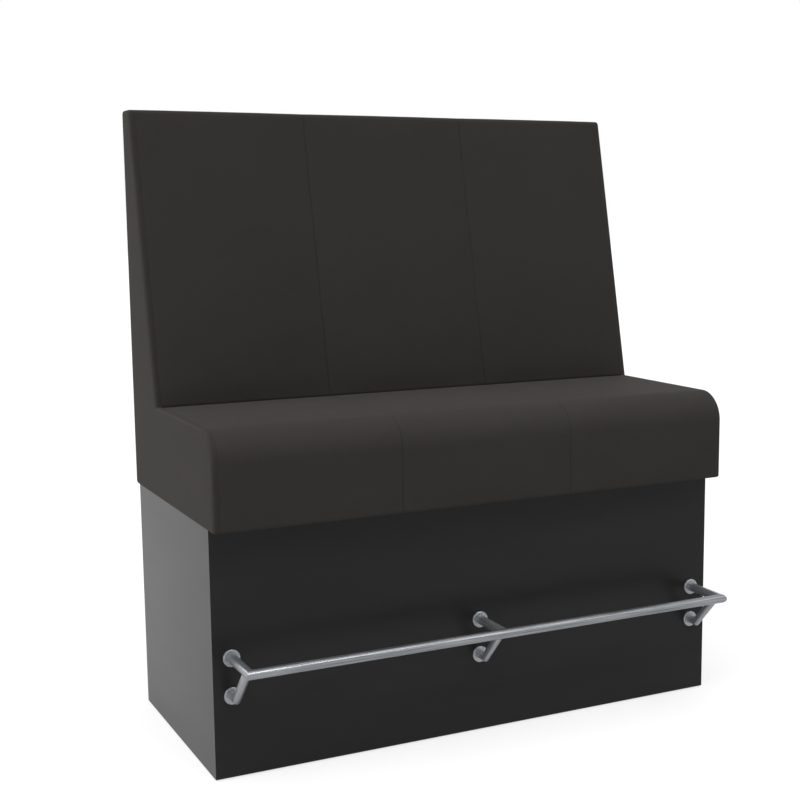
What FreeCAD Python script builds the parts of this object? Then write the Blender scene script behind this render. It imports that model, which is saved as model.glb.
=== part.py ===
import FreeCAD, Part
import math
import os

import Sketcher

# A one-sided booth bench at bar height: a boarded plinth on four levelling feet, a foot rail on
# three brackets, and an upholstered seat and back. All lengths are millimetres.
# X runs along the bench, +Y to its back and Z up. The floor is at Z zero. Places are first counted
# from the plinth front (Y zero there) and then moved by frame_shift, so that the origin ends up
# under the middle of the whole bench.

SIZES = {
    # Whole bench
    "bench_width": 1200,
    "bench_height": 1350,
    "seat_height": 714,
    "seat_thickness": 197,
    "seat_depth": 394,
    "front_overhang": 48,
    "rear_overhang": 14,
    "back_top_thickness": 54,
    "centre_panel_width": 400,
    # Plinth
    "plinth_setback": 2,
    "plinth_depth": 524,
    "floor_gap": 3,
    "board": 18,
    "backing_width": 100,
    "backing_margin": 40,
    "block_side": 60,
    "block_height": 90,
    # Levelling feet
    "pad_diameter": 40,
    "pad_thickness": 5,
    "pad_chamfer": 1.5,
    "socket_depth": 3,
    "stem_diameter": 8,
    "stem_length": 60,
    "stem_room": 1,
    "stem_end_room": 8,
    "stem_chamfer": 1,
    "foot_hex_across": 13,
    "foot_hex_height": 4,
    "insert_wall": 1.7,
    "insert_length": 20,
    "thread_gap": 0.3,
    "running_gap": 0.3,
    # Foot rail and its brackets
    "rail_diameter": 20,
    "rail_wall": 2,
    "rail_reach": 118,
    "rail_height": 252,
    "bracket_inset": 39,
    "brace_diameter": 18,
    "brace_wall": 1.5,
    "stub_height": 174,
    "stub_reach": 27,
    "brace_setback": 17,
    "weld_gap": 0.1,
    "flange_diameter": 36,
    "flange_thickness": 5,
    "flange_round": 2,
    "plug_setback": 4,
    "plug_gap": 0.05,
    "bolt_diameter": 8,
    "bolt_room": 0.5,
    "bolt_gap": 0.2,
    "bolt_end_room": 2,
    "bolt_hex_across": 13,
    "bolt_head_height": 5.3,
    "washer_diameter": 24,
    "washer_thickness": 2,
    # Timber frame of the seat and back
    "base_board": 15,
    "deck_board": 15,
    "frame_board": 18,
    "back_board": 12,
    "rear_lining": 4,
    "top_rail_height": 60,
    # Bolts that hold the seat unit on the plinth
    "unit_bolt_diameter": 6,
    "unit_bolt_room": 0.5,
    "unit_bolt_end_room": 2,
    "unit_bolt_head_diameter": 13,
    "unit_bolt_head_height": 4,
    "unit_bolt_inset": 80,
    # Foam and covers
    "seat_foam": 66,
    "front_foam": 26,
    "back_foam": 25,
    "top_foam": 12,
    "cover": 4,
    "crown": 4,
    "top_crown": 1.5,
    "side_pad": 12,
    "rear_pad": 8,
    "seat_roll": 65,
    "corner_round": 10,
    "side_round": 8,
    "rear_round": 6,
    "seam_round": 2.5,
    # How far a cutting shape runs past what it cuts
    "overrun": 2,
}

doc = FreeCAD.newDocument("booth_bench")
sheet = doc.addObject("Spreadsheet::Sheet", "sizes")
for row, (alias, number) in enumerate(SIZES.items(), start=1):
    sheet.set(f"A{row}", alias)
    sheet.set(f"B{row}", str(number))
    sheet.setAlias(f"B{row}", alias)
doc.recompute()


class Size:
    """A size held as its number and as the expression that gives it from the named sizes."""

    def __init__(self, number, text):
        self.number = number
        self.text = text

    def __add__(self, other):
        other = as_size(other)
        return Size(self.number + other.number, f"({self.text} + {other.text})")

    def __sub__(self, other):
        other = as_size(other)
        return Size(self.number - other.number, f"({self.text} - {other.text})")

    def __mul__(self, other):
        other = as_size(other)
        return Size(self.number * other.number, f"({self.text} * {other.text})")

    def __truediv__(self, other):
        other = as_size(other)
        return Size(self.number / other.number, f"({self.text} / {other.text})")

    def __neg__(self):
        return Size(-self.number, f"(-1 * {self.text})")

    def __rmul__(self, other):
        return as_size(other) * self


def as_size(value):
    return value if isinstance(value, Size) else Size(float(value), str(value))


def size(alias):
    return Size(float(sheet.get(alias)), f"sizes.{alias}")


def root(value):
    return Size(math.sqrt(value.number), f"sqrt({value.text})")


def steepness(rise, run):
    """The angle in degrees of a slope."""
    angle = math.degrees(math.atan2(rise.number, run.number))
    return Size(angle, f"atan2({rise.text}; {run.text})")


ZERO = Size(0.0, "0")
TOLERANCE = 0.0001
HEX_CORNER_SHARE = Size(1 / math.sqrt(3), "(1 / sqrt(3))")

# Places that several pieces share, counted from the plinth front and the floor
plinth_half = size("bench_width") / 2 - size("plinth_setback")
inner_half = plinth_half - size("board")
plinth_top = size("seat_height") - size("seat_thickness")
plinth_height = plinth_top - size("floor_gap")
deck_under = plinth_top - size("board")
bracket_x = plinth_half - size("bracket_inset")
seam_x = size("centre_panel_width") / 2
frame_half = size("bench_width") / 2 - size("side_pad")

rail_radius = size("rail_diameter") / 2
brace_radius = size("brace_diameter") / 2
block_under = size("pad_thickness") + size("foot_hex_height") + 2 * size("running_gap")
hole_radius = size("bolt_diameter") / 2 + size("bolt_room")
insert_bore = size("stem_diameter") / 2 + size("thread_gap")
insert_radius = insert_bore + size("insert_wall")

front_y = -size("front_overhang")
rear_y = size("plinth_depth") + size("rear_overhang")
crease_y = front_y + size("seat_depth")
lining_rear = rear_y - size("rear_pad")
lining_front = lining_rear - size("rear_lining")
foam_front = front_y + size("cover")
foam_under = plinth_top + size("cover")
foam_top = size("seat_height") - size("cover")
foam_cap = size("bench_height") - size("cover")
frame_front = foam_front + size("front_foam")
base_top = plinth_top + size("base_board")
seat_deck_top = foam_top - size("seat_foam")
seat_deck_under = seat_deck_top - size("deck_board")
rail_top = foam_cap - size("top_foam")
back_board_top = rail_top - size("top_rail_height")

# The backrest leans back by recline millimetres for each millimetre of height
back_rise = size("bench_height") - size("seat_height")
recline = (rear_y - size("back_top_thickness") - crease_y) / back_rise
slant = root(as_size(1) + recline * recline)

frame_shift = (size("rail_reach") + rail_radius - rear_y) / 2


def back_line(depth, height):
    """Y on the plane that lies depth behind the backrest's front face, at this height."""
    return crease_y + recline * (height - size("seat_height")) + slant * depth


def bind(thing, prop, value):
    """Sets a property of an object and ties it to the named sizes."""
    value = as_size(value)
    setattr(thing, prop, value.number)
    thing.setExpression(prop, value.text)


def place(thing, x, y, z, axis=None, degrees=ZERO):
    """Puts an object at its place, turned about an axis through that place."""
    x, y, z, degrees = as_size(x), as_size(y) + frame_shift, as_size(z), as_size(degrees)
    turn = FreeCAD.Rotation(axis or FreeCAD.Vector(0, 0, 1), degrees.number)
    thing.Placement = FreeCAD.Placement(FreeCAD.Vector(x.number, y.number, z.number), turn)
    thing.setExpression("Placement.Base.x", x.text)
    thing.setExpression("Placement.Base.y", y.text)
    thing.setExpression("Placement.Base.z", z.text)
    if degrees.number:
        thing.setExpression("Placement.Rotation.Angle", degrees.text)
    return thing


X_AXIS = FreeCAD.Vector(1, 0, 0)
RIGHT_ANGLE = Size(90.0, "90")

nodes = []


def node(thing, name):
    """Marks an object as a piece of the bench. Its label names its file."""
    thing.Label = name
    nodes.append(thing)
    return thing


# Boards, round and hexagonal bars, and what is cut or joined from them


def box(name, length, width, height, x, y, z):
    """A board with its low corner at x, y, z."""
    thing = doc.addObject("Part::Box", name)
    bind(thing, "Length", length)
    bind(thing, "Width", width)
    bind(thing, "Height", height)
    return place(thing, x, y, z)


def cylinder(name, radius, length, x, y, z, forward=False):
    """A round bar that rises from its place, or runs forward (-Y) from it."""
    thing = doc.addObject("Part::Cylinder", name)
    bind(thing, "Radius", radius)
    bind(thing, "Height", length)
    return place(thing, x, y, z, X_AXIS, RIGHT_ANGLE if forward else ZERO)


def hexagon(name, across, length, x, y, z, forward=False):
    """A hexagonal bar, given across its flats."""
    thing = doc.addObject("Part::Prism", name)
    thing.Polygon = 6
    bind(thing, "Circumradius", across * HEX_CORNER_SHARE)
    bind(thing, "Height", length)
    return place(thing, x, y, z, X_AXIS, RIGHT_ANGLE if forward else ZERO)


def fuse(name, first, second):
    thing = doc.addObject("Part::Fuse", name)
    thing.Base = first
    thing.Tool = second
    return thing


def cut(name, base, tool):
    thing = doc.addObject("Part::Cut", name)
    thing.Base = base
    thing.Tool = tool
    return thing


def group(name, pieces):
    """Identical pieces in one node, each still its own solid."""
    thing = doc.addObject("Part::Compound", name)
    thing.Links = pieces
    return node(thing, name)


# Pieces made from drawn outlines


def new_body(name):
    return doc.addObject("PartDesign::Body", name)


def new_sketch(body, role, name, offset=ZERO):
    """A drawing on one of the piece's three main planes, or offset along that plane's normal."""
    sketch = body.newObject("Sketcher::SketchObject", name)
    plane = [feature for feature in body.Origin.OriginFeatures if feature.Role == role][0]
    sketch.AttachmentSupport = (plane, [""])
    sketch.MapMode = "FlatFace"
    offset = as_size(offset)
    sketch.AttachmentOffset.Base = FreeCAD.Vector(0, 0, offset.number)
    sketch.setExpression("AttachmentOffset.Base.z", offset.text)
    return sketch


def hold(sketch, shape, end, direction, value):
    """Fixes one coordinate of a point of a sketch."""
    if value.text == "0":
        axis = -2 if direction == "DistanceX" else -1
        sketch.addConstraint(Sketcher.Constraint("PointOnObject", shape, end, axis))
        return
    constraint = Sketcher.Constraint(direction, -1, 1, shape, end, value.number)
    index = sketch.addConstraint(constraint)
    sketch.setExpression(f"Constraints[{index}]", value.text)


def outline(sketch, corners):
    """Adds a closed polygon through its corners."""
    corners = [(as_size(across), as_size(up)) for across, up in corners]
    points = [FreeCAD.Vector(across.number, up.number, 0) for across, up in corners]
    first = sketch.GeometryCount
    count = len(points)
    for index in range(count):
        edge = Part.LineSegment(points[index], points[(index + 1) % count])
        sketch.addGeometry(edge, False)
    for index in range(count):
        follower = first + (index + 1) % count
        sketch.addConstraint(Sketcher.Constraint("Coincident", first + index, 2, follower, 1))
    for index, (across, up) in enumerate(corners):
        hold(sketch, first + index, 1, "DistanceX", across)
        hold(sketch, first + index, 1, "DistanceY", up)


def circle(sketch, radius, across=ZERO, up=ZERO):
    """Adds a circle."""
    centre = FreeCAD.Vector(across.number, up.number, 0)
    shape = Part.Circle(centre, FreeCAD.Vector(0, 0, 1), radius.number)
    index = sketch.addGeometry(shape, False)
    constraint = sketch.addConstraint(Sketcher.Constraint("Radius", index, radius.number))
    sketch.setExpression(f"Constraints[{constraint}]", radius.text)
    hold(sketch, index, 3, "DistanceX", across)
    hold(sketch, index, 3, "DistanceY", up)


def pad(body, sketch, length, symmetric=False):
    feature = body.newObject("PartDesign::Pad", sketch.Name + "_pad")
    feature.Profile = sketch
    feature.SideType = "Symmetric" if symmetric else "One side"
    bind(feature, "Length", length)
    return feature


def pocket(body, sketch, length, symmetric=False, reverse=False):
    feature = body.newObject("PartDesign::Pocket", sketch.Name + "_pocket")
    feature.Profile = sketch
    feature.SideType = "Symmetric" if symmetric else "One side"
    feature.Reversed = reverse
    bind(feature, "Length", length)
    doc.recompute()
    before = feature.BaseFeature.Shape.Volume
    if not feature.Shape.Volume < before:
        raise RuntimeError(f"{feature.Name} cuts nothing")
    return feature


def fillet(body, feature, wanted, radius):
    """Rounds the edges of a feature for which wanted(edge) is true."""
    doc.recompute()
    edges = feature.Shape.Edges
    names = [f"Edge{index}" for index, edge in enumerate(edges, start=1) if wanted(edge)]
    rounded = body.newObject("PartDesign::Fillet", feature.Name + "_round")
    rounded.Base = (feature, names)
    bind(rounded, "Radius", radius)
    return rounded


def near(first, second):
    return math.isclose(first, second, abs_tol=TOLERANCE)


def lies_at(edge, x):
    """Whether an edge lies in the plane at x."""
    return near(edge.BoundBox.XMin, x.number) and near(edge.BoundBox.XMax, x.number)


def runs_at(edge, y=None, z=None):
    """Whether an edge runs straight along X, at this Y, this Z or both."""
    bounds = edge.BoundBox
    if near(bounds.XMin, bounds.XMax):
        return False
    at_y = y is None or (near(bounds.YMin, y.number) and near(bounds.YMax, y.number))
    at_z = z is None or (near(bounds.ZMin, z.number) and near(bounds.ZMax, z.number))
    return at_y and at_z


# Plinth


def plinth_panels():
    """Front and side boards, mitred where they meet, with the rail's bolt holes."""
    board = size("board")
    body = new_body("plinth_front_panel")
    sketch = new_sketch(body, "XY_Plane", "front_plan")
    outline(sketch, [(-plinth_half, 0), (plinth_half, 0), (inner_half, board), (-inner_half, board)])
    pad(body, sketch, plinth_height)
    holes = new_sketch(body, "XZ_Plane", "front_holes")
    for x in (-bracket_x, ZERO, bracket_x):
        for height in (size("rail_height"), size("stub_height")):
            circle(holes, hole_radius, x, height - size("floor_gap"))
    pocket(body, holes, 2 * (board + size("overrun")), symmetric=True)
    place(node(body, "plinth_front_panel"), 0, 0, size("floor_gap"))
    for side, name in ((-1, "plinth_left_panel"), (1, "plinth_right_panel")):
        body = new_body(name)
        sketch = new_sketch(body, "XY_Plane", name + "_plan")
        far, inside, rear = side * plinth_half, side * inner_half, size("plinth_depth")
        outline(sketch, [(far, 0), (inside, board), (inside, rear), (far, rear)])
        pad(body, sketch, plinth_height)
        place(node(body, name), 0, 0, size("floor_gap"))


def plinth_boards():
    """Back board, dividers and the backing plates behind the rail's bolts."""
    board = size("board")
    clear_depth = size("plinth_depth") - 2 * board
    low = size("floor_gap")
    back = box("plinth_back_panel", 2 * inner_half, board, plinth_height,
               -inner_half, board + clear_depth, low)
    node(back, "plinth_back_panel")
    for side, name in ((-1, "plinth_divider_left"), (1, "plinth_divider_right")):
        x = side * seam_x - board / 2
        node(box(name, board, clear_depth, deck_under - low, x, board, low), name)
    margin = size("backing_margin")
    low = size("stub_height") - margin
    tall = size("rail_height") + margin - low
    wide = size("backing_width")
    for x, name in (
        (-inner_half, "rail_backing_left"),
        (-wide / 2, "rail_backing_middle"),
        (inner_half - wide, "rail_backing_right"),
    ):
        plate = box(name + "_plate", wide, board, tall, x, board, low)
        centre = {"left": -bracket_x, "middle": ZERO, "right": bracket_x}[name.split("_")[-1]]
        for height, level in ((size("rail_height"), "upper"), (size("stub_height"), "lower")):
            drill = cylinder(f"{name}_{level}_hole", hole_radius, board + 2 * size("overrun"),
                             centre, 2 * board + size("overrun"), height, forward=True)
            plate = cut(f"{name}_{level}", plate, drill)
        node(plate, name)


def unit_bolt_places():
    """The six bolts of the seat unit: two rows of three, clear of the dividers and ribs."""
    inset = size("unit_bolt_inset")
    side_x = (seam_x + inner_half) / 2
    for x in (-side_x, ZERO, side_x):
        for y in (size("board") + inset, size("plinth_depth") - size("board") - inset):
            yield x, y


def drilled_board(name, half, front, rear, under, thickness, radius):
    """A level board with a hole for each bolt of the seat unit."""
    body = new_body(name)
    sketch = new_sketch(body, "XY_Plane", name + "_plan")
    outline(sketch, [(-half, front), (half, front), (half, rear), (-half, rear)])
    pad(body, sketch, thickness)
    holes = new_sketch(body, "XY_Plane", name + "_holes")
    for x, y in unit_bolt_places():
        circle(holes, radius, x, y)
    pocket(body, holes, 2 * (thickness + size("overrun")), symmetric=True)
    place(node(body, name), 0, 0, under)


def plinth_deck():
    board = size("board")
    hole = size("unit_bolt_diameter") / 2 + size("unit_bolt_room")
    drilled_board("plinth_deck", inner_half, board, size("plinth_depth") - board, deck_under, board, hole)


# Levelling feet


def foot_places():
    """Name and centre of each foot, in the middle of its corner block."""
    half = size("block_side") / 2
    across = inner_half - half
    near_y = size("board") + half
    far_y = size("plinth_depth") - size("board") - half
    for side, side_name in ((-1, "left"), (1, "right")):
        for y, row_name in ((near_y, "front"), (far_y, "rear")):
            yield f"{row_name}_{side_name}", side * across, y


def foot_block(place_name, x, y):
    """A hardwood block glued into the corner, bored for the insert and the stem."""
    name = "foot_block_" + place_name
    half = size("block_side") / 2
    body = new_body(name)
    sketch = new_sketch(body, "XY_Plane", name + "_plan")
    outline(sketch, [(-half, -half), (half, -half), (half, half), (-half, half)])
    pad(body, sketch, size("block_height"))
    bore = new_sketch(body, "XY_Plane", name + "_bore")
    circle(bore, size("stem_diameter") / 2 + size("stem_room"))
    stem_top = size("pad_thickness") - size("socket_depth") + size("running_gap") + size("stem_length")
    pocket(body, bore, stem_top + size("stem_end_room") - block_under, reverse=True)
    seat = new_sketch(body, "XY_Plane", name + "_seat")
    circle(seat, insert_radius)
    pocket(body, seat, size("insert_length"), reverse=True)
    place(node(body, name), x, y, block_under)


def foot_insert(place_name, x, y):
    """The threaded sleeve that the stem screws through."""
    core = cylinder("insert_core_" + place_name, insert_radius, size("insert_length"), x, y, block_under)
    thread = cylinder("insert_thread_" + place_name, insert_bore, size("insert_length") + 2 * size("overrun"),
                      x, y, block_under - size("overrun"))
    return cut("foot_insert_" + place_name, core, thread)


def foot_stem(place_name, x, y):
    """The threaded stem with its hexagon, turned by a spanner under the plinth."""
    name = "foot_stem_" + place_name
    radius = size("stem_diameter") / 2
    chamfer = size("stem_chamfer")
    low = size("pad_thickness") - size("socket_depth") + size("running_gap")
    body = new_body(name + "_shank")
    sketch = new_sketch(body, "XZ_Plane", name + "_profile")
    top = size("stem_length")
    outline(sketch, [
        (0, 0), (radius - chamfer, 0), (radius, chamfer),
        (radius, top - chamfer), (radius - chamfer, top), (0, top),
    ])
    turned(body, sketch)
    place(body, x, y, low)
    head = hexagon(name + "_hexagon", size("foot_hex_across"), size("foot_hex_height"), x, y,
                   size("pad_thickness") + size("running_gap"))
    node(fuse(name, body, head), name)


def turned(body, sketch):
    """Turns a profile about the vertical axis of its sketch."""
    feature = body.newObject("PartDesign::Revolution", sketch.Name + "_turned")
    feature.Profile = sketch
    feature.ReferenceAxis = (sketch, ["V_Axis"])
    feature.Angle = 360
    return feature


def foot_pad(place_name, x, y):
    """The round pad on the floor, with the socket that the stem turns in."""
    name = "foot_pad_" + place_name
    radius = size("pad_diameter") / 2
    top = size("pad_thickness")
    chamfer = size("pad_chamfer")
    socket = size("stem_diameter") / 2 + size("running_gap")
    floor = top - size("socket_depth")
    body = new_body(name)
    sketch = new_sketch(body, "XZ_Plane", name + "_profile")
    outline(sketch, [
        (0, 0), (radius, 0), (radius, top - chamfer), (radius - chamfer, top),
        (socket, top), (socket, floor), (0, floor),
    ])
    turned(body, sketch)
    place(node(body, name), x, y, 0)


def levelling_feet():
    inserts = []
    for place_name, x, y in foot_places():
        foot_block(place_name, x, y)
        inserts.append(foot_insert(place_name, x, y))
        foot_stem(place_name, x, y)
        foot_pad(place_name, x, y)
    group("foot_inserts", inserts)


# Foot rail


def ring(sketch, radius, wall):
    circle(sketch, radius)
    circle(sketch, radius - wall)


def rail_tube():
    """The straight rail. Both ends are mitred for the arms behind them."""
    body = new_body("foot_rail")
    section = new_sketch(body, "YZ_Plane", "rail_section")
    ring(section, rail_radius, size("rail_wall"))
    pad(body, section, 2 * (bracket_x + rail_radius), symmetric=True)
    mitres = new_sketch(body, "XY_Plane", "rail_mitres")
    reach = rail_radius + size("overrun")
    for side in (-1, 1):
        tip, root_x = side * (bracket_x + reach), side * (bracket_x - reach)
        outline(mitres, [(tip, -reach), (tip, reach), (root_x, reach)])
    pocket(body, mitres, 2 * reach, symmetric=True)
    place(node(body, "foot_rail"), 0, -size("rail_reach"), size("rail_height"))


def rail_arm(name, x, side):
    """An arm from its flange to the rail: mitred at an end of the rail, coped in the middle."""
    body = new_body(name)
    section = new_sketch(body, "XZ_Plane", name + "_section")
    ring(section, rail_radius, size("rail_wall"))
    centre = size("rail_reach") - size("flange_thickness")
    reach = rail_radius + size("overrun")
    if side:
        pad(body, section, centre + rail_radius)
        ends = new_sketch(body, "XY_Plane", name + "_mitre")
        tip, inside = side * reach, -side * reach
        outline(ends, [(tip, -centre - reach), (inside, -centre - reach), (inside, -centre + reach)])
    else:
        pad(body, section, centre)
        ends = new_sketch(body, "YZ_Plane", name + "_cope")
        circle(ends, rail_radius + size("weld_gap"), -centre, ZERO)
    pocket(body, ends, 2 * reach, symmetric=True)
    place(node(body, name), x, -size("flange_thickness"), size("rail_height"))


# The brace leaves the stub's axis at stub_reach and meets the arm's axis brace_setback behind the rail
brace_run = size("rail_reach") - size("brace_setback") - size("stub_reach")
brace_rise = size("rail_height") - size("stub_height")
brace_length = root(brace_run * brace_run + brace_rise * brace_rise)
mitre_slope = brace_rise / (brace_length + brace_run)


def rail_stub(name, x):
    """The short tube on the lower flange, mitred for the brace."""
    reach = brace_radius + size("overrun")
    lean = mitre_slope * reach
    length = size("stub_reach") - size("flange_thickness")
    body = new_body(name)
    section = new_sketch(body, "XZ_Plane", name + "_section")
    ring(section, brace_radius, size("brace_wall"))
    pad(body, section, length + lean)
    mitre = new_sketch(body, "YZ_Plane", name + "_mitre")
    far = -length - lean - reach
    outline(mitre, [(-length + lean, reach), (-length - lean, -reach), (far, -reach), (far, reach)])
    pocket(body, mitre, 2 * reach, symmetric=True)
    place(node(body, name), x, -size("flange_thickness"), size("stub_height"))


def rail_brace(name, x):
    """The diagonal tube: mitred on the stub below, coped to the arm above."""
    reach = brace_radius + size("overrun")
    lean = mitre_slope * reach
    body = new_body(name + "_tube")
    section = new_sketch(body, "XY_Plane", name + "_section", -lean)
    ring(section, brace_radius, size("brace_wall"))
    pad(body, section, brace_length + lean)
    mitre = new_sketch(body, "YZ_Plane", name + "_mitre")
    far = -lean - reach
    outline(mitre, [(-reach, -lean), (reach, lean), (reach, far), (-reach, far)])
    pocket(body, mitre, 2 * reach, symmetric=True)
    place(body, x, -size("stub_reach"), size("stub_height"), X_AXIS, steepness(brace_run, brace_rise))
    arm = cylinder(name + "_cope", rail_radius + size("weld_gap"), size("rail_reach"),
                   x, 0, size("rail_height"), forward=True)
    node(cut(name, body, arm), name)


def sleeve(name, outer, inner, length, x, rear, height):
    """A round piece with a hole through it, from the Y of its rear face forward."""
    overrun = size("overrun")
    core = cylinder(name + "_core", outer, length, x, rear, height, forward=True)
    hole = cylinder(name + "_hole", inner, length + 2 * overrun, x, rear + overrun, height, forward=True)
    return cut(name, core, hole)


def flange(name, x, height):
    """A round plate on the plinth front, with a soft front rim."""
    body = new_body(name)
    radius = size("flange_diameter") / 2
    thick = size("flange_thickness")
    face = new_sketch(body, "XY_Plane", name + "_face")
    circle(face, radius)
    circle(face, hole_radius)
    plate = pad(body, face, thick)

    def front_rim(edge):
        return near(edge.BoundBox.ZMin, thick.number) and near(edge.BoundBox.XMax, radius.number)

    fillet(body, plate, front_rim, size("flange_round"))
    return place(body, x, 0, height, X_AXIS, RIGHT_ANGLE)


def bolted_end(x, height, bore_radius, place_name):
    """What holds one end of a bracket: flange, threaded plug, washer and bolt."""
    thick = size("flange_thickness")
    thread_radius = size("bolt_diameter") / 2 + size("bolt_gap")
    plug_length = size("stub_reach") - thick - size("plug_setback")
    plug = sleeve("plug_" + place_name, bore_radius - size("plug_gap"), thread_radius,
                  plug_length, x, -thick, height)
    seat = 2 * size("board") + size("washer_thickness")
    washer = sleeve("washer_" + place_name, size("washer_diameter") / 2, thread_radius,
                    size("washer_thickness"), x, seat, height)
    shank = cylinder("bolt_shank_" + place_name, size("bolt_diameter") / 2,
                     seat + thick + plug_length - size("bolt_end_room"), x, seat, height, forward=True)
    head = hexagon("bolt_head_" + place_name, size("bolt_hex_across"), size("bolt_head_height"),
                   x, seat + size("bolt_head_height"), height, forward=True)
    bolt = fuse("bolt_" + place_name, shank, head)
    return flange("flange_" + place_name, x, height), plug, washer, bolt


def foot_rail():
    rail_tube()
    ends = []
    for x, side, name in ((-bracket_x, -1, "left"), (ZERO, 0, "middle"), (bracket_x, 1, "right")):
        rail_arm("rail_arm_" + name, x, side)
        rail_stub("rail_stub_" + name, x)
        rail_brace("rail_brace_" + name, x)
        upper_bore = rail_radius - size("rail_wall")
        lower_bore = brace_radius - size("brace_wall")
        ends.append(bolted_end(x, size("rail_height"), upper_bore, name + "_upper"))
        ends.append(bolted_end(x, size("stub_height"), lower_bore, name + "_lower"))
    for name, pieces in zip(("rail_flanges", "rail_plugs", "rail_washers", "rail_bolts"), zip(*ends)):
        group(name, list(pieces))


# Timber frame of the seat and back


def cross_piece(name, x, width, corners):
    """A piece with the same outline all along X, from x to x plus width."""
    body = new_body(name)
    sketch = new_sketch(body, "YZ_Plane", name + "_outline", x)
    outline(sketch, corners)
    shape = pad(body, sketch, width)
    place(node(body, name), 0, 0, 0)
    return body, shape


def timber_frame():
    hole = size("unit_bolt_diameter") / 2 + size("unit_bolt_room")
    drilled_board("seat_base_board", frame_half, frame_front, lining_front, plinth_top,
                  size("base_board"), hole)
    width = 2 * frame_half
    node(box("seat_front_rail", width, size("frame_board"), seat_deck_under - base_top,
             -frame_half, frame_front, base_top), "seat_front_rail")
    padding = size("cover") + size("back_foam")
    board_back = padding + size("back_board")
    deck_rear = back_line(board_back, seat_deck_top)
    board_head = back_line(board_back, back_board_top)
    rail_rear = frame_front + size("frame_board")
    profile = [
        (rail_rear, base_top), (rail_rear, seat_deck_under), (deck_rear, seat_deck_under),
        (deck_rear, seat_deck_top), (board_head, back_board_top), (lining_front, back_board_top),
        (lining_front, base_top),
    ]
    thick = size("frame_board")
    for name, x in (
        ("end_frame_left", -frame_half),
        ("seam_rib_left", -seam_x - thick / 2),
        ("seam_rib_right", seam_x - thick / 2),
        ("end_frame_right", frame_half - thick),
    ):
        cross_piece(name, x, thick, profile)
    node(box("seat_deck", width, deck_rear - frame_front, size("deck_board"),
             -frame_half, frame_front, seat_deck_under), "seat_deck")
    cross_piece("back_board", -frame_half, width, [
        (back_line(padding, seat_deck_top), seat_deck_top), (deck_rear, seat_deck_top),
        (board_head, back_board_top), (back_line(padding, back_board_top), back_board_top),
    ])
    cross_piece("back_top_rail", -frame_half, width, [
        (back_line(padding, back_board_top), back_board_top), (lining_front, back_board_top),
        (lining_front, rail_top), (back_line(padding, rail_top), rail_top),
    ])
    node(box("rear_lining", width, size("rear_lining"), rail_top - plinth_top,
             -frame_half, lining_front, plinth_top), "rear_lining")


def unit_bolts():
    """Bolts up through the plinth deck into the base board."""
    radius = size("unit_bolt_diameter") / 2
    length = size("board") + size("base_board") - size("unit_bolt_end_room")
    bolts = []
    for index, (x, y) in enumerate(unit_bolt_places(), start=1):
        shank = cylinder(f"unit_shank_{index}", radius, length, x, y, deck_under)
        head = cylinder(f"unit_head_{index}", size("unit_bolt_head_diameter") / 2,
                        size("unit_bolt_head_height"), x, y, deck_under - size("unit_bolt_head_height"))
        bolts.append(fuse(f"unit_bolt_{index}", shank, head))
    group("unit_bolts", bolts)


# Foam and covers


def foam():
    """Seat foam with a rolled front edge, and back foam that folds over the top."""
    width = 2 * frame_half
    padding = size("cover") + size("back_foam")
    body, block = cross_piece("seat_foam", -frame_half, width, [
        (foam_front, foam_under), (foam_front, foam_top), (back_line(size("cover"), foam_top), foam_top),
        (back_line(size("cover"), seat_deck_top), seat_deck_top), (frame_front, seat_deck_top),
        (frame_front, foam_under),
    ])
    block = fillet(body, block, lambda edge: runs_at(edge, foam_front, foam_top),
                   size("seat_roll") - size("cover"))
    fillet(body, block, lambda edge: runs_at(edge, foam_front, foam_under),
           size("corner_round") - size("cover"))
    body, block = cross_piece("back_foam", -frame_half, width, [
        (back_line(size("cover"), seat_deck_top), seat_deck_top),
        (back_line(size("cover"), foam_cap), foam_cap), (lining_rear, foam_cap), (lining_rear, rail_top),
        (back_line(padding, rail_top), rail_top), (back_line(padding, seat_deck_top), seat_deck_top),
    ])
    fillet(body, block, lambda edge: runs_at(edge, back_line(size("cover"), foam_cap), foam_cap),
           size("corner_round") - size("cover"))


def rounded_wire(x, corners):
    """A closed wire at x through corners (y, z, radius), with an arc at each corner that has a radius."""
    count = len(corners)
    stops = []
    for index, (y, z, radius) in enumerate(corners):
        here = FreeCAD.Vector(x, y, z)
        if not radius:
            stops.append((here, here, here))
            continue
        before = FreeCAD.Vector(x, *corners[index - 1][:2]) - here
        after = FreeCAD.Vector(x, *corners[(index + 1) % count][:2]) - here
        before.normalize()
        after.normalize()
        half_angle = before.getAngle(after) / 2
        tangent = radius / math.tan(half_angle)
        towards = (before + after).normalize()
        middle = here + towards * (radius / math.sin(half_angle) - radius)
        stops.append((here + before * tangent, middle, here + after * tangent))
    edges = []
    for index, (start, middle, end) in enumerate(stops):
        if start != end:
            edges.append(Part.Arc(start, middle, end).toShape())
        following = stops[(index + 1) % count][0]
        edges.append(Part.LineSegment(end, following).toShape())
    return Part.Wire(edges)


def seat_section(x, crown):
    """The seat cover's section, standing crown proud of its seams."""
    cover, roll, corner = size("cover").number, size("seat_roll").number, size("corner_round").number
    front, under, top = front_y.number, plinth_top.number, size("seat_height").number
    bisector = recline.number - slant.number
    crease = crease_y.number
    return rounded_wire(x, [
        (frame_front.number, under, 0),
        (front - crown, under, corner),
        (front - crown, top + crown, roll + crown),
        (crease + bisector * crown, top + crown, 0),
        (crease - bisector * cover, top - cover, 0),
        (front + cover, top - cover, roll - cover),
        (front + cover, under + cover, corner - cover),
        (frame_front.number, under + cover, 0),
    ])


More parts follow.
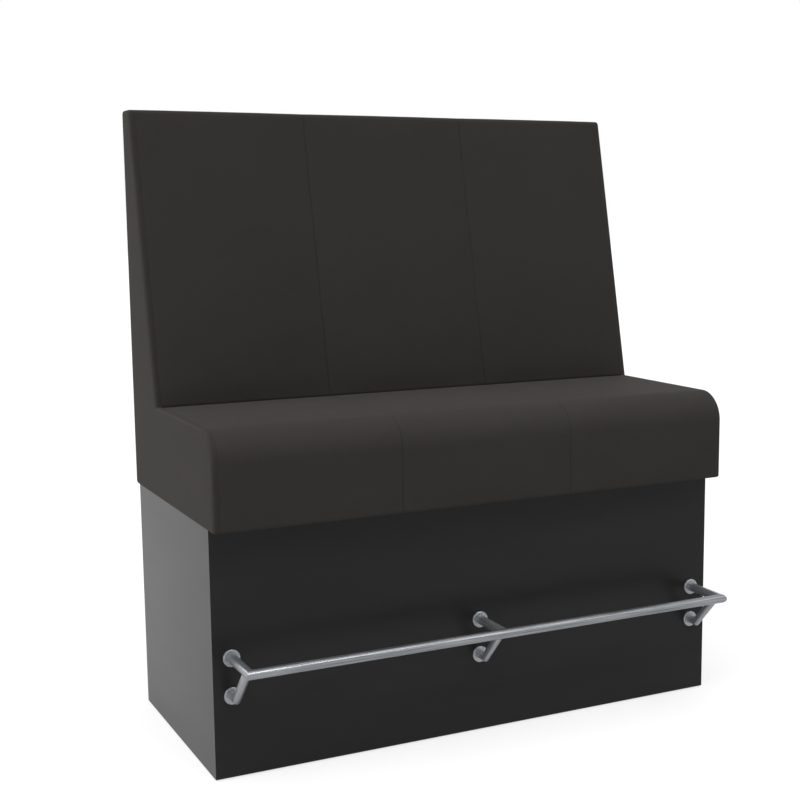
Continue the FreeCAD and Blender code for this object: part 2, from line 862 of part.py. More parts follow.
def back_section(x, crown, top_crown):
    """The back cover's section: up the front face and over the top to the rear cover."""
    cover, corner = size("cover").number, size("corner_round").number
    bisector = recline.number - slant.number
    crease, top, cap = crease_y.number, size("seat_height").number, size("bench_height").number

    def front_face(depth, height):
        return crease + recline.number * (height - top) + slant.number * depth

    return rounded_wire(x, [
        (crease + bisector * crown, top + crown, 0),
        (front_face(-crown, cap + top_crown), cap + top_crown, corner),
        (lining_rear.number, cap + top_crown, 0),
        (lining_rear.number, cap - cover, 0),
        (front_face(cover, cap - cover), cap - cover, corner - cover),
        (crease - bisector * cover, top - cover, 0),
    ])


def cover_panel(name, left, right, section):
    """One sewn panel: a loft that swells between its seams, with its seam edges rolled in."""
    middle = (left + right) / 2
    wires = [section(left, 0), section(middle, 1), section(right, 0)]
    shape = Part.makeLoft(wires, True, False)
    inner = size("cover").number
    seams = []
    for edge in shape.Edges:
        low, high = edge.BoundBox.XMin, edge.BoundBox.XMax
        at_seam = near(low, high) and (near(low, left) or near(low, right))
        if at_seam and outside(edge, inner):
            seams.append(edge)
    shape = shape.makeFillet(size("seam_round").number, seams)
    thing = doc.addObject("Part::Feature", name)
    thing.Shape = shape
    place(node(thing, name), 0, 0, 0)


def outside(edge, cover):
    """Whether an edge lies on the outer face of a cover: less than half a cover inside the bench."""
    point = edge.valueAt((edge.FirstParameter + edge.LastParameter) / 2)
    front, top = front_y.number, size("seat_height").number
    roll_y, roll_z = front + size("seat_roll").number, top - size("seat_roll").number
    depth_back = (point.y - crease_y.number - recline.number * (point.z - top)) / slant.number
    if point.z > top + cover:
        cap = size("bench_height").number - point.z
        return (depth_back < cover / 2 or cap < cover / 2) and point.y < lining_rear.number - cover / 2
    if point.y > crease_y.number - cover:
        return False
    if point.z > roll_z and point.y < roll_y:
        radius = math.hypot(point.y - roll_y, point.z - roll_z)
        return radius > size("seat_roll").number - cover / 2
    if point.z < plinth_top.number + cover / 2:
        return True
    return point.y < front + cover / 2 or point.z > top - cover / 2


def covers():
    crown, top_crown = size("crown").number, size("top_crown").number
    seams = [-frame_half.number, -seam_x.number, seam_x.number, frame_half.number]
    for name, left, right in zip(("left", "centre", "right"), seams, seams[1:]):
        cover_panel("seat_cover_" + name, left, right, lambda x, full: seat_section(x, crown * full))
        cover_panel("back_cover_" + name, left, right,
                    lambda x, full: back_section(x, crown * full, top_crown * full))


def side_covers():
    """The L-shaped side pads, with soft outer edges."""
    top_y = rear_y - size("back_top_thickness")
    seat_height, bench_height = size("seat_height"), size("bench_height")
    corners = [
        (front_y, plinth_top), (front_y, seat_height), (crease_y, seat_height),
        (top_y, bench_height), (rear_y, bench_height), (rear_y, plinth_top),
    ]
    small_corners = [
        (front_y, plinth_top), (top_y, bench_height), (rear_y, bench_height), (rear_y, plinth_top),
    ]
    outer = size("bench_width") / 2
    for name, x, face_x in (("side_cover_left", -outer, -outer), ("side_cover_right", frame_half, outer)):
        body, block = cross_piece(name, x, size("side_pad"), corners)
        block = fillet(body, block, lambda edge: runs_at(edge, front_y, seat_height), size("seat_roll"))
        block = fillet(body, block, lambda edge: any(runs_at(edge, *corner) for corner in small_corners),
                       size("corner_round"))
        fillet(body, block, lambda edge: lies_at(edge, face_x), size("side_round"))


def rear_cover():
    """The flat pad on the back, over the lining."""
    body, block = cross_piece("rear_cover", -frame_half, 2 * frame_half, [
        (lining_rear, plinth_top), (rear_y, plinth_top),
        (rear_y, size("bench_height")), (lining_rear, size("bench_height")),
    ])
    fillet(body, block, lambda edge: runs_at(edge, rear_y), size("rear_round"))


def write_parts():
    """Checks every object and every piece, then writes one file for each piece."""
    doc.recompute()
    failed = [thing.Name for thing in doc.Objects if {"Invalid", "Error"} & set(thing.State)]
    if failed:
        raise RuntimeError("failed objects: " + ", ".join(failed))
    for piece in nodes:
        if piece.Shape.isNull() or not piece.Shape.isValid():
            raise RuntimeError(piece.Label + " has no valid shape")
    os.makedirs("parts", exist_ok=True)
    for piece in nodes:
        piece.Shape.exportStep(f"parts/{piece.Label}.step")


plinth_panels()
plinth_boards()
plinth_deck()
levelling_feet()
foot_rail()
timber_frame()
unit_bolts()
foam()
covers()
side_covers()
rear_cover()
write_parts()
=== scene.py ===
import cmath
import math

import bpy
import numpy as np
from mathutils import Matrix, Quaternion, Vector, geometry, noise


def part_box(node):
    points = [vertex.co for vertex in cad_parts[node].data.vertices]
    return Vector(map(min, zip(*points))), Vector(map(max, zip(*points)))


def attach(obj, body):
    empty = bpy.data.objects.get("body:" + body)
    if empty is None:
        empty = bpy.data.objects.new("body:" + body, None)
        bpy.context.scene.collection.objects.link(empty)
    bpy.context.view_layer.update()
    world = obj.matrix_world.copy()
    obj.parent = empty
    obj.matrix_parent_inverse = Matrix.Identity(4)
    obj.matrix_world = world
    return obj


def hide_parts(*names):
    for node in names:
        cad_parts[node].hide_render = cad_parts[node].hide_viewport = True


# A booth bench at bar height: tight dark upholstery over a black plinth, with a foot rail in front.
# All lengths are metres in the frame's own axes. An outline in the Y-Z plane is written with
# complex numbers, y + z i, and its material lies to the right of the way it runs.

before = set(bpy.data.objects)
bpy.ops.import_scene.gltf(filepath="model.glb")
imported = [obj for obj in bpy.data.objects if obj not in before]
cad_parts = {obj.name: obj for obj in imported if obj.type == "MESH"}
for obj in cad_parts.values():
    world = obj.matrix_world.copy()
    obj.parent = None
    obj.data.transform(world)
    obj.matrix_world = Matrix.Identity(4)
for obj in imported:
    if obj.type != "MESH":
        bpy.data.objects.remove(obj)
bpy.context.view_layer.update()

# Sizes of the upholstery that the frame's boxes don't give
SEAT_DEPTH = 0.394
BACK_TOP = 0.054
COVER = 0.004
SKIN = 0.0037
SEAT_ROLL = 0.065
CORNER_ROUND = 0.010
LIP_ROUND = 0.006
CREASE_ROUND = 0.009
CREASE_TUCK = 0.010
CREASE_FILLET = 0.002
SIDE_ROUND = 0.0055
REAR_ROUND = 0.006
SEWN_ROLL = 0.0006
JOIN_ROLL = 0.0005
FOAM_GAP = 0.0003

# How full the panels and pads stand, and over which lengths they get there. The edge share is the part
# of its crown that a panel gains close to its seams, and the filling is a pad's share of the cap.
PANEL_CROWN = 0.0013
EDGE_SHARE = 0.35
PAD_LIFT = 0.0022
PAD_CROWN = 0.0008
PAD_REACH = 0.050
PAD_FILLING = 0.6
CLOTH_CAP = 0.0012
CLOTH_FRAMES = 20
SEAM_REACH = 0.030
PAD_WAVE_REACH = 3 * SEAM_REACH
CREASE_REACH = 0.050
LIP_REACH = 0.070

# Puckers at the seams, slow waves over the faces, and stitches
PUCKER_DEPTH = 0.00016
PUCKER_LENGTH = 0.011
PUCKER_REACH = 0.009
WAVE_DEPTH = 0.00030
WAVE_LENGTH = 0.085
STITCH_LENGTH = 0.0036

# Seeds of the puckers and waves. Panels and pads count up from the seed of their own kind, and a
# panel's waves add the wave seed to its own.
WAVE_SEED = 7
SEAT_SEED = 0
BACK_SEED = 20
SIDE_SEED = 40
REAR_SEED = 60

# Mesh spacing. The edge stations are millimetres from a sewn edge and the round shares are parts of a
# pad's rounded edge. The foot share is the middle of the small round at that pad's foot, and the under
# share is how much smaller the rounded edge is where it faces down.
MILLIMETRE = 0.001
FINE_STEP = 0.0026
REAR_STEP = 0.008
WIDE_STEP = 0.012
CLOTH_STEP = 0.009
PAD_STEP = 0.011
RIM_STEP = PAD_STEP / 3
ROUND_PARTS = 6
FOAM_COLUMNS = 40
EDGE_STATIONS = (0, .15, .4, .8, 1.3, 1.9, 2.5, 4, 6, 9, 13, 18, 25, 34, 45)
ROUND_SHARES = (0, .04, .12, .25, .42, .65, 1)
FOOT_SHARE = 0.3
UNDER_SHARE = 0.1
COVER_SHARP_ANGLE = 40
FOAM_SHARP_ANGLE = 30

# Settings of the triangulation: how near two points are one, and that only the inside is filled
WELD_DISTANCE = 1e-7
INSIDE_ONLY = 1

# Places read from the frame
side_low, side_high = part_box("side_cover_left")
front, rear = side_low.y, side_high.y
under, cap = side_low.z, side_high.z
outer_x, inner_x = -side_low.x, -side_high.x
seam_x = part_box("seat_cover_centre")[1].x
lip_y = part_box("seat_front_rail")[0].y
lining_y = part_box("rear_cover")[0].y
seat_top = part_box("seat_foam")[1].z + COVER
crease = complex(front + SEAT_DEPTH, seat_top)
back_top = complex(rear - BACK_TOP, cap)
up_back = (back_top - crease) / abs(back_top - crease)
into_crease = (1 - up_back) / abs(1 - up_back)


# Outlines


def rounded(corners, step):
    """Places and outward normals along an outline of (place, radius) corners, and the length so far."""
    places, normals = [], []
    here = corners[0][0]
    for (before, _), (corner, radius), (after, _) in zip(corners, corners[1:], corners[2:]):
        way_in = (corner - before) / abs(corner - before)
        way_out = (after - corner) / abs(after - corner)
        turn = cmath.phase(way_out / way_in)
        tangent = radius * math.tan(abs(turn) / 2)
        start = corner - way_in * tangent
        normal = way_in * 1j
        add_run(places, normals, here, start, normal, step)
        bulge = math.copysign(radius, -turn)
        centre = start - normal * bulge
        count = max(ROUND_PARTS, round(radius * abs(turn) / step)) if radius else 0
        for index in range(count):
            turned = normal * cmath.exp(1j * turn * index / count)
            places.append(centre + turned * bulge)
            normals.append(turned)
        here = corner + way_out * tangent
    last = corners[-1][0]
    normal = (last - here) / abs(last - here) * 1j
    add_run(places, normals, here, last, normal, step)
    places.append(last)
    normals.append(normal)
    places, normals = np.array(places), np.array(normals)
    length = np.concatenate([[0], np.cumsum(np.abs(np.diff(places)))])
    return places, normals, length


def add_run(places, normals, start, end, normal, step):
    """Adds the stations of a straight run, without its end."""
    count = max(1, round(abs(end - start) / step))
    for index in range(count):
        places.append(start + (end - start) * index / count)
        normals.append(normal)


def stations(left, right):
    """Places across a panel, close together at its two edges."""
    edge = np.array(EDGE_STATIONS) * MILLIMETRE
    count = round((right - left - 2 * edge[-1]) / WIDE_STEP)
    middle = np.linspace(left + edge[-1], right - edge[-1], count + 1)
    return np.concatenate([left + edge[:-1], middle, right - edge[-2::-1]])


def smooth(value):
    """Zero below zero, one above one, and a smooth step between."""
    value = np.clip(value, 0, 1)
    return value * value * (3 - 2 * value)


def rolled(distance, radius):
    """How far a surface has rolled in at a distance from its sewn edge."""
    short = np.clip(radius - distance, 0, radius)
    return radius - np.sqrt(radius * radius - short * short)


def waves(first, second, seed):
    """Smooth hills and hollows between minus one and one over two coordinates."""
    return noise.noise(Vector((first, second, seed)))


# Meshes


def put(name, data):
    """An object with the given data, in the scene."""
    made = bpy.data.objects.new(name, data)
    bpy.context.scene.collection.objects.link(made)
    return made


def put_mesh(name, vertices, faces):
    """An object with a new mesh, in the scene."""
    mesh = bpy.data.meshes.new(name)
    mesh.from_pydata(np.asarray(vertices).tolist(), [], [[int(i) for i in face] for face in faces])
    return put(name, mesh)


def make_piece(name, vertices, faces, flat, material, sharp=COVER_SHARP_ANGLE):
    """A mesh piece of the frame's body. flat gives each vertex its place on the flat cut, in metres."""
    piece = put_mesh(name, vertices, faces)
    mesh = piece.data
    layer = mesh.uv_layers.new(name="cut")
    corners = np.zeros(len(mesh.loops), np.int32)
    mesh.loops.foreach_get("vertex_index", corners)
    layer.data.foreach_set("uv", np.asarray(flat, np.float32)[corners].ravel())
    mesh.shade_smooth()
    mesh.set_sharp_from_angle(angle=math.radians(sharp))
    mesh.materials.append(material)
    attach(piece, "frame")
    return piece


def grid_faces(rows, columns, first=0):
    """The quads of a grid of vertices, numbered row by row from first."""
    index = first + np.arange(rows * columns).reshape(rows, columns)
    quads = np.stack([index[:-1, :-1], index[:-1, 1:], index[1:, 1:], index[1:, :-1]], axis=-1)
    return quads.reshape(-1, 4)


def shell_faces(rows, columns):
    """The quads of a closed shell: an outer grid, an inner grid and the strip round their edges."""
    index = np.arange(rows * columns).reshape(rows, columns)
    count = rows * columns
    rim = np.concatenate([index[0, :-1], index[:-1, -1], index[-1, :0:-1], index[:0:-1, 0]])
    ahead = np.roll(rim, -1)
    strip = np.stack([ahead, rim, rim + count, ahead + count], axis=-1)
    outer = grid_faces(rows, columns)
    inner = grid_faces(rows, columns, count)[:, ::-1]
    return np.concatenate([outer, inner, strip])


def swell(vertices, faces, held, outward):
    """How far a skin held at its sewn edges moves outward under pressure, scaled to peak at the cap."""
    skin = put_mesh("skin", vertices, faces)
    group = skin.vertex_groups.new(name="sewn")
    group.add([int(i) for i in np.flatnonzero(held)], 1.0, "REPLACE")
    settings = skin.modifiers.new("Cloth", "CLOTH").settings
    settings.vertex_group_mass = group.name
    settings.quality = 6
    settings.mass = 0.6
    settings.tension_stiffness = 25
    settings.compression_stiffness = 25
    settings.shear_stiffness = 12
    settings.bending_stiffness = 2
    settings.shrink_min = -0.006
    settings.use_pressure = True
    settings.uniform_pressure_force = 4
    settings.effector_weights.gravity = 0
    scene = bpy.context.scene
    for number in range(1, CLOTH_FRAMES + 1):
        scene.frame_set(number)
    graph = bpy.context.evaluated_depsgraph_get()
    moved = np.zeros(len(vertices) * 3)
    skin.evaluated_get(graph).data.vertices.foreach_get("co", moved)
    bpy.data.objects.remove(skin)
    scene.frame_set(1)
    out = np.nan_to_num(np.sum((moved.reshape(-1, 3) - vertices) * outward, axis=1))
    most = np.max(np.abs(out))
    return out * (CLOTH_CAP / most) if most > 0 else out


# Covers of the seat and back


def in_space(places, across):
    """Points of a grid: an outline's places for its rows and X stations for its columns."""
    grid = np.zeros((len(places), len(across), 3))
    grid[..., 0] = across[None, :]
    grid[..., 1] = places.real[:, None]
    grid[..., 2] = places.imag[:, None]
    return grid


def directions(normals, count):
    """The outline's normals for every point of a grid with count columns."""
    grid = np.zeros((len(normals), count, 3))
    grid[..., 1] = normals.real[:, None]
    grid[..., 2] = normals.imag[:, None]
    return grid


def cloth_swell(corners, left, right, length, across):
    """The swelling of a panel's skin, simulated on a coarse grid and read on the fine one."""
    places, normals, run = rounded(corners, CLOTH_STEP)
    columns = np.linspace(left, right, round((right - left) / CLOTH_STEP) + 1)
    grid = in_space(places, columns)
    outward = directions(normals, len(columns))
    held = np.zeros(grid.shape[:2], bool)
    held[[0, -1], :] = True
    held[:, [0, -1]] = True
    faces = grid_faces(len(places), len(columns))
    out = swell(grid.reshape(-1, 3), faces, held.ravel(), outward.reshape(-1, 3)).reshape(grid.shape[:2])
    share, coarse = length / length[-1], run / run[-1]
    along = np.array([np.interp(share, coarse, out[:, j]) for j in range(len(columns))])
    return np.array([np.interp(across, columns, along[:, i]) for i in range(len(length))])


def relief(corners, left, right, seed, ends, step):
    """A panel's grid: places, normals, length so far, stations across and how far each point stands out."""
    places, normals, length = rounded(corners, step)
    across = stations(left, right)
    from_left, from_right = across - left, right - across
    near = np.minimum(from_left, from_right)
    half = (right - left) / 2
    at_edge = 1 - np.exp(-near / SEAM_REACH)
    at_middle = 1 - (1 - near / half) ** 2
    swollen = EDGE_SHARE * at_edge + (1 - EDGE_SHARE) * at_middle
    start, end = ends
    along = smooth(length / start) * smooth((length[-1] - length) / end)
    out = PANEL_CROWN * along[:, None] * swollen[None, :]
    out += along[:, None] * cloth_swell(corners, left, right, length, across)
    for edge, distance in ((left, from_left), (right, from_right)):
        sewn = abs(abs(edge) - seam_x) < JOIN_ROLL
        out -= rolled(distance, SEWN_ROLL if sewn else JOIN_ROLL)[None, :]
        depth = PUCKER_DEPTH if sewn else PUCKER_DEPTH / 2
        pull = np.array([waves(s / PUCKER_LENGTH, edge, seed) for s in length])
        fade = np.exp(-distance / PUCKER_REACH) * smooth(distance / SEWN_ROLL)
        out -= depth * pull[:, None] * fade[None, :]
    slow = seed + WAVE_SEED
    hills = np.array([[waves(s / WAVE_LENGTH, x / WAVE_LENGTH, slow) for x in across] for s in length])
    out += WAVE_DEPTH * hills * along[:, None] * smooth(near / SEAM_REACH)[None, :]
    return places, normals, length, across, out


def cover_panel(node, corners, left, right, seed, ends, material,
                depth=SKIN, step=FINE_STEP):
    """One sewn panel as a closed shell: its skin outside, its wadding's inner face inside."""
    places, normals, length, across, out = relief(corners, left, right, seed, ends, step)
    base = in_space(places, across)
    outward = directions(normals, len(across))
    outer = base + outward * out[..., None]
    inner = base - outward * depth
    vertices = np.concatenate([outer.reshape(-1, 3), inner.reshape(-1, 3)])
    flat = np.stack(np.meshgrid(across, length), axis=-1).reshape(-1, 2)
    piece = make_piece("skin_" + node, vertices, shell_faces(len(places), len(across)),
                       np.concatenate([flat, flat]), material)
    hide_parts(node)


def covers(material):
    """The three seat panels and the three back panels."""
    tuck = crease + into_crease * CREASE_TUCK
    seat = [(complex(lip_y, under), 0), (complex(front, under), LIP_ROUND),
            (complex(front, seat_top), SEAT_ROLL), (crease, CREASE_ROUND), (tuck, 0)]
    back = [(tuck, 0), (crease, CREASE_ROUND), (back_top, CORNER_ROUND), (complex(lining_y, cap), 0)]
    seams = [-inner_x, -seam_x, seam_x, inner_x]
    for number, (side, left, right) in enumerate(zip(("left", "centre", "right"), seams, seams[1:])):
        cover_panel("seat_cover_" + side, seat, left, right, SEAT_SEED + number,
                    (LIP_REACH, CREASE_REACH), material)
        cover_panel("back_cover_" + side, back, left, right, BACK_SEED + number,
                    (CREASE_REACH, LIP_REACH), material)


# Pads on the sides and the rear


def lies_inside(points, ring):
    """Whether each point lies inside a closed ring, by how often a ray to the right crosses it."""
    ahead = np.roll(ring, -1)
    inside = np.zeros(len(points), bool)
    for a, b in zip(ring, ahead):
        crosses = (a.imag > points.imag) != (b.imag > points.imag)
        if a.imag != b.imag:
            u = a.real + (points.imag - a.imag) / (b.imag - a.imag) * (b.real - a.real)
            inside ^= crosses & (points.real < u)
    return inside


def points_within(outline, ring):
    """Points of a triangle grid over an outline's box that lie well inside a ring."""
    columns = np.arange(min(outline.real), max(outline.real), PAD_STEP)
    rows = np.arange(min(outline.imag), max(outline.imag), PAD_STEP * math.sqrt(3) / 2)
    grid = []
    for number, v in enumerate(rows):
        for u in columns + (PAD_STEP / 2 if number % 2 else 0):
            grid.append(complex(u, v))
    grid = np.array(grid)
    grid = grid[lies_inside(grid, ring)]
    gap = np.min(np.abs(grid[:, None] - ring[None, :]), axis=1)
    return grid[gap > PAD_STEP / 2]


def triangles(points, count):
    """Triangles over flat points, of which the first count ones are the ring round them all."""
    flat = [Vector((p.real, p.imag)) for p in points]
    ring = [(i, (i + 1) % count) for i in range(count)]
    found = geometry.delaunay_2d_cdt(flat, ring, [], INSIDE_ONLY, WELD_DISTANCE)
    return [tuple(found[3][i][0] for i in face) for face in found[2]]


def pad_mesh(corners, thickness, edge_round):
    """A pad on a flat back: points as outline places and heights, and faces seen from outside.

    Also gives the number of points in each ring up its edge, and the first point of its face.
    """
    places, normals, _ = rounded(corners, RIM_STEP)
    places, normals = places[:-1], normals[:-1]
    count = len(places)
    edge_round = edge_round * (1 - UNDER_SHARE * np.clip(-normals.imag, 0, 1))
    foot = JOIN_ROLL * FOOT_SHARE
    levels = [(JOIN_ROLL, 0.0), (foot, foot), (0.0, JOIN_ROLL)]
    for share in ROUND_SHARES:
        drop = edge_round - np.sqrt(edge_round ** 2 - (edge_round * (1 - share)) ** 2)
        levels.append((edge_round * share, thickness - drop))
    rings = [places - normals * inset for inset, _ in levels]
    within = points_within(places, rings[-1])
    points = np.concatenate([*rings, within])
    ring_heights = [np.broadcast_to(height, count) for _, height in levels]
    heights = np.concatenate([*ring_heights, np.full(len(within), thickness)])
    first = (len(levels) - 1) * count
    faces = []
    for level in range(len(levels) - 1):
        for index in range(count):
            a, b = level * count + index, level * count + (index + 1) % count
            faces.append((a, a + count, b + count, b))
    faces += [tuple(first + i for i in face) for face in triangles(points[first:], count)]
    faces += [face[::-1] for face in triangles(points[:count], count)]
    return points, heights, faces, count, first


def on_side(sign, points, heights):
    """Places of a side's outline, at heights over the end frame, as points in space."""
    return np.stack([sign * (inner_x + heights), points.real, points.imag], axis=-1)


def side_pads(material):
    """The L-shaped pads that close the two ends: rolled edges, a filled and crowned face, a flat back."""
    start = complex((front + rear) / 2, under)
    corners = [(start, 0), (complex(front, under), LIP_ROUND), (complex(front, seat_top), SEAT_ROLL),
               (crease, CREASE_FILLET), (back_top, CORNER_ROUND), (complex(rear, cap), CORNER_ROUND),
               (complex(rear, under), CORNER_ROUND), (start, 0)]
    points, heights, faces, count, first = pad_mesh(corners, outer_x - inner_x + PAD_LIFT, SIDE_ROUND)
    ring = points[first:first + count]
    to_edge = np.min(np.abs(points[:, None] - ring[None, :]), axis=1)
    to_edge[:first + count] = 0
    crown = PAD_CROWN * (1 - np.exp(-to_edge / PAD_REACH))
    flat = np.stack([points.real, points.imag], axis=-1)
    held = np.arange(len(points) - first) < count
    for number, (side, sign) in enumerate((("left", -1), ("right", 1))):
        seed = SIDE_SEED + number
        turned = faces if sign > 0 else [face[::-1] for face in faces]
        skin_faces = [[i - first for i in face] for face in turned if min(face) >= first]
        outward = np.tile((float(sign), 0.0, 0.0), (len(points) - first, 1))
        filling = np.zeros(len(points))
        skin = on_side(sign, points, heights)[first:]
        filling[first:] = swell(skin, skin_faces, held, outward) * PAD_FILLING
        hills = np.array([waves(p.real / WAVE_LENGTH, p.imag / WAVE_LENGTH, seed) for p in points])
        full = heights + crown + filling + WAVE_DEPTH * hills * smooth(to_edge / PAD_WAVE_REACH)
        piece = make_piece("skin_side_cover_" + side, on_side(sign, points, full), turned, flat,
                           material)
        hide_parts("side_cover_" + side)


def rear_pad(material):
    """The flat pad on the back."""
    corners = [(complex(lining_y, cap), 0), (complex(rear, cap), REAR_ROUND),
               (complex(rear, under), REAR_ROUND), (complex(lining_y, under), 0)]
    cover_panel("rear_cover", corners, -inner_x, inner_x, REAR_SEED, (CREASE_REACH, CREASE_REACH),
                material, REAR_ROUND - FOAM_GAP, REAR_STEP)


# Foam under the covers


def foam_cores(material):
    """The two foam blocks, a hair inside their covers and off their boards."""
    slant = 1 / up_back.imag
    lean = up_back.real / up_back.imag

    def on_back(depth, height):
        """The place at a height, at a depth square to the slope of the back."""
        return complex(crease.real + lean * (height - seat_top) + slant * depth, height)

    skin = COVER + FOAM_GAP
    lip, nose = lip_y - FOAM_GAP, front + skin
    bottom, top = under + skin, seat_top - skin
    deck_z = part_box("seat_deck")[1].z + FOAM_GAP
    rail_low, rail_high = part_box("back_top_rail")
    rail_z = rail_high.z + FOAM_GAP
    board = (rail_low.y - on_back(0, rail_high.z).real) / slant - FOAM_GAP
    lining = lining_y - FOAM_GAP
    peak = cap - skin
    seat = [(complex(lip, bottom), 0), (complex(nose, bottom), CORNER_ROUND - skin),
            (complex(nose, top), SEAT_ROLL - skin), (on_back(skin, top), 0),
            (on_back(skin, deck_z), 0), (complex(lip, deck_z), 0), (complex(lip, bottom), 0)]
    back = [(on_back(skin, deck_z), 0), (on_back(skin, peak), CORNER_ROUND - skin),
            (complex(lining, peak), 0), (complex(lining, rail_z), 0), (on_back(board, rail_z), 0),
            (on_back(board, deck_z), 0), (on_back(skin, deck_z), 0)]
    across = np.linspace(-inner_x + FOAM_GAP, inner_x - FOAM_GAP, FOAM_COLUMNS)
    for name, corners in (("seat_foam", seat), ("back_foam", back)):
        places = rounded(corners, WIDE_STEP)[0][:-1]
        vertices = in_space(places, across).reshape(-1, 3)
        rows, columns = len(places), len(across)
        faces = []
        for i in range(rows):
            for j in range(columns - 1):
                a, b = i * columns + j, ((i + 1) % rows) * columns + j
                faces.append((a, a + 1, b + 1, b))
        faces.append([i * columns for i in range(rows)])
        faces.append([i * columns + columns - 1 for i in reversed(range(rows))])
        piece = make_piece("core_" + name, vertices, faces, vertices[:, :2], material,
                           FOAM_SHARP_ANGLE)
        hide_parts(name)


# Nodes


def add_node(tree, kind, sockets=None, **settings):
    """A shader node with its settings, its values and its links in one go."""
    made = tree.nodes.new("ShaderNode" + kind)
    for name, value in settings.items():
        setattr(made, name, value)
    for name, value in (sockets or {}).items():
        if isinstance(value, bpy.types.NodeSocket):
            tree.links.new(value, made.inputs[name])
        else:
            made.inputs[name].default_value = value
    return made


def calculate(tree, operation, first, second=0.0, third=0.0):
    """The result of one operation on up to three values."""
    sockets = {0: first, 1: second, 2: third}
    return add_node(tree, "Math", sockets, operation=operation).outputs[0]


def place_of(tree, scale=(1, 1, 1), turn=(0, 0, 0)):
    """The place on the object in metres, turned and then scaled."""
    place = add_node(tree, "TexCoord").outputs["Object"]
    if any(turn):
        place = add_node(tree, "Mapping", {"Vector": place, "Rotation": turn}).outputs[0]
    return add_node(tree, "Mapping", {"Vector": place, "Scale": scale}).outputs[0]


def noise_of(tree, place, scale, detail=3.0, roughness=0.55):
    """Noise between zero and one."""
    sockets = {"Vector": place, "Scale": scale, "Detail": detail, "Roughness": roughness}
    return add_node(tree, "TexNoise", sockets).outputs[0]


def between(tree, value, low, high, start=0.0, end=1.0):
    """Maps a value from start..end, clamped, to low..high."""
    sockets = {"Value": value, "From Min": start, "From Max": end, "To Min": low, "To Max": high}
    return add_node(tree, "MapRange", sockets).outputs[0]


def blend_colours(tree, share, first, second):
    """The first colour where the share is zero, the second where it is one."""
    made = add_node(tree, "Mix", {0: share}, data_type="RGBA")
    for index, value in ((6, first), (7, second)):
        if isinstance(value, bpy.types.NodeSocket):
            tree.links.new(value, made.inputs[index])
        else:
            made.inputs[index].default_value = (*value, 1)
    return made.outputs[2]


def graded(tree, value, start, end, first, second):
    """The first colour where the value is at its start, the second where it is at its end."""
    return blend_colours(tree, between(tree, value, 0.0, 1.0, start, end), first, second)


def bump(tree, height, distance, under_it=None):
    """A normal bent by a height between zero and one over a distance in metres."""
    sockets = {"Height": height, "Distance": distance, "Strength": 1.0}
    if under_it:
        sockets["Normal"] = under_it
    return add_node(tree, "Bump", sockets).outputs[0]


def surface(name, **values):
    """A new material: its node tree and its main shader with the given values."""
    material = bpy.data.materials.new(name)
    material.use_nodes = True
    tree = material.node_tree
    shader = tree.nodes["Principled BSDF"]
    for socket, value in values.items():
        shader.inputs[socket.replace("_", " ")].default_value = value
    return material, tree, shader


def dress(tree, shader, colour=None, roughness=None, normal=None):
    """Links what is given to the main shader."""
    for name, value in (("Base Color", colour), ("Roughness", roughness), ("Normal", normal)):
        if value is not None:
            tree.links.new(value, shader.inputs[name])


# Materials


def leathercloth(name, sewn):
    """Smooth matt artificial leather: fine pebbled grain with painted shade in its hollows, soft tone
    changes and seams darkened with painted shade.
    """
    dark, pale = (0.0355, 0.0328, 0.0310), (0.0390, 0.0363, 0.0345)
    # The second pair of tones is painted shade: one for the grain's hollows, one along the seams.
    painted_hollow_shade, painted_seam_shade = (0.017, 0.0155, 0.0145), (0.008, 0.0077, 0.0075)
    material, tree, shader = surface(name, IOR=1.06, Sheen_Weight=0.01, Sheen_Roughness=0.5)
    place = place_of(tree)
    warp = add_node(tree, "TexNoise", {"Vector": place, "Scale": 180.0, "Detail": 2.0}).outputs[1]
    bent = add_node(tree, "VectorMath", {0: warp, "Scale": 0.0016}, operation="SCALE").outputs[0]
    bent = add_node(tree, "VectorMath", {0: place, 1: bent}, operation="ADD").outputs[0]
    cells = add_node(tree, "TexVoronoi", {"Vector": bent, "Scale": 620.0}, feature="DISTANCE_TO_EDGE")
    pebbles = between(tree, cells.outputs[0], 0.0, 1.0, 0.0, 0.22)
    pores = noise_of(tree, place, 1500.0, 2.0)
    broad = noise_of(tree, place, 5.0, 4.0)
    cloudy = noise_of(tree, place, 38.0, 3.0)
    tone = calculate(tree, "MULTIPLY_ADD", cloudy, 0.35, calculate(tree, "MULTIPLY", broad, 0.65))
    colour = graded(tree, tone, 0.3, 0.7, dark, pale)
    # Painted shade: the colour darkens in the hollows between the grain's pebbles.
    colour = blend_colours(tree, between(tree, pebbles, 0.35, 0.0), colour, painted_hollow_shade)
    rough = calculate(tree, "ADD", between(tree, cloudy, 0.66, 0.71, 0.3, 0.7),
                      between(tree, pores, -0.03, 0.03))
    normal = bump(tree, pores, 0.00003, bump(tree, pebbles, 0.00006))
    if sewn:
        cut = add_node(tree, "SeparateXYZ", {0: add_node(tree, "UVMap", uv_map="cut").outputs[0]})
        from_seam = calculate(tree, "SUBTRACT", calculate(tree, "ABSOLUTE", cut.outputs[0]), seam_x)
        from_seam = calculate(tree, "ABSOLUTE", from_seam)
        # Painted shade: the colour darkens towards each seam, where the sewn edges roll in.
        shade = between(tree, from_seam, 0.14, 0.0, 0.0004, 0.0025)
        colour = blend_colours(tree, shade, colour, painted_seam_shade)
        turns = calculate(tree, "MULTIPLY", cut.outputs[1], 2 * math.pi / STITCH_LENGTH)
        near_seam = between(tree, from_seam, 1.0, 0.0, 0.0008, 0.003)
        stitch = calculate(tree, "MULTIPLY", calculate(tree, "SINE", turns), near_seam)
        normal = bump(tree, stitch, 0.00012, normal)
    dress(tree, shader, colour, rough, normal)
    return material


